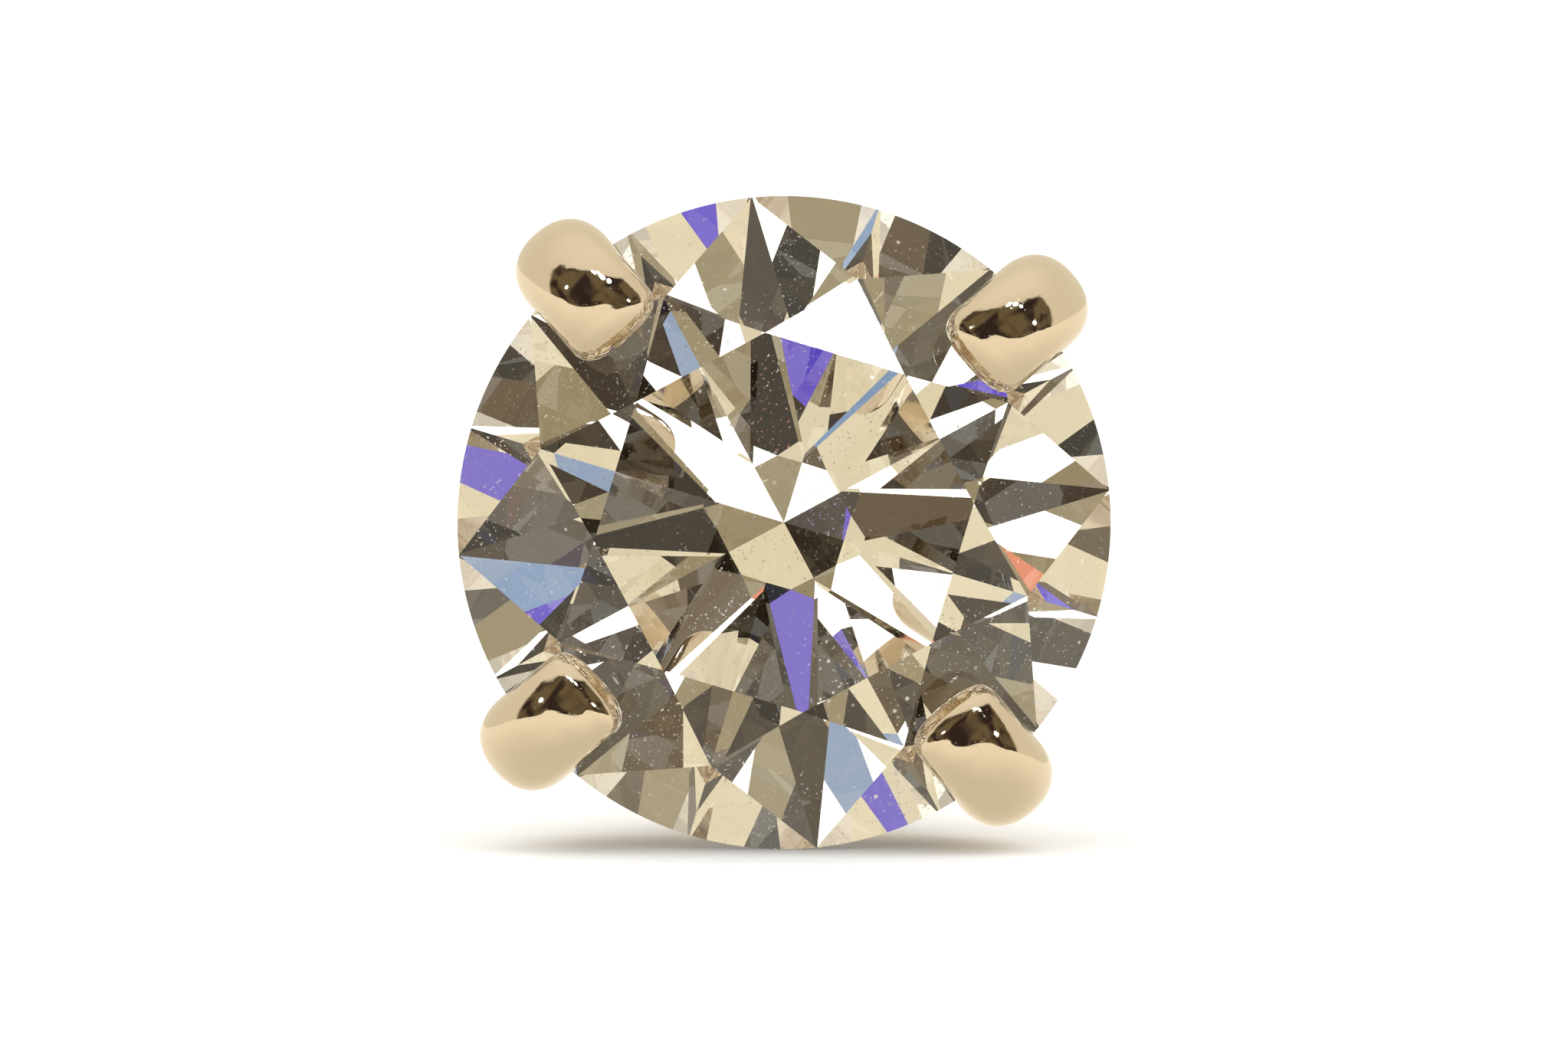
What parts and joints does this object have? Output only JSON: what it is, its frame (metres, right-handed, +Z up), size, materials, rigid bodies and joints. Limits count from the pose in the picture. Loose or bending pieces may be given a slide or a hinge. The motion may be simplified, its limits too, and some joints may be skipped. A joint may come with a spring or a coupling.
{
  "type": "stud earring",
  "caption": "Stud earring: a round brilliant stone held by claws in an open basket, on a straight post with a butterfly back, lying on its side as it rests.",
  "frame": {"origin": "on the surface that the earring lies on, under the middle of its footprint", "axes": "+Z up, -Y is the side that the stone's table faces, +Y runs back towards the post's tip, +X is the viewer's right"},
  "size_m": [0.0064, 0.0146, 0.0065],
  "materials": {
    "diamond": "gloss",
    "white_gold": "polished",
    "white_gold_sheet": "polished"
  },
  "bodies": {
    "root": {"stone": "diamond", "setting": "white_gold", "butterfly_back": "white_gold_sheet"}
  },
  "joints": []
}
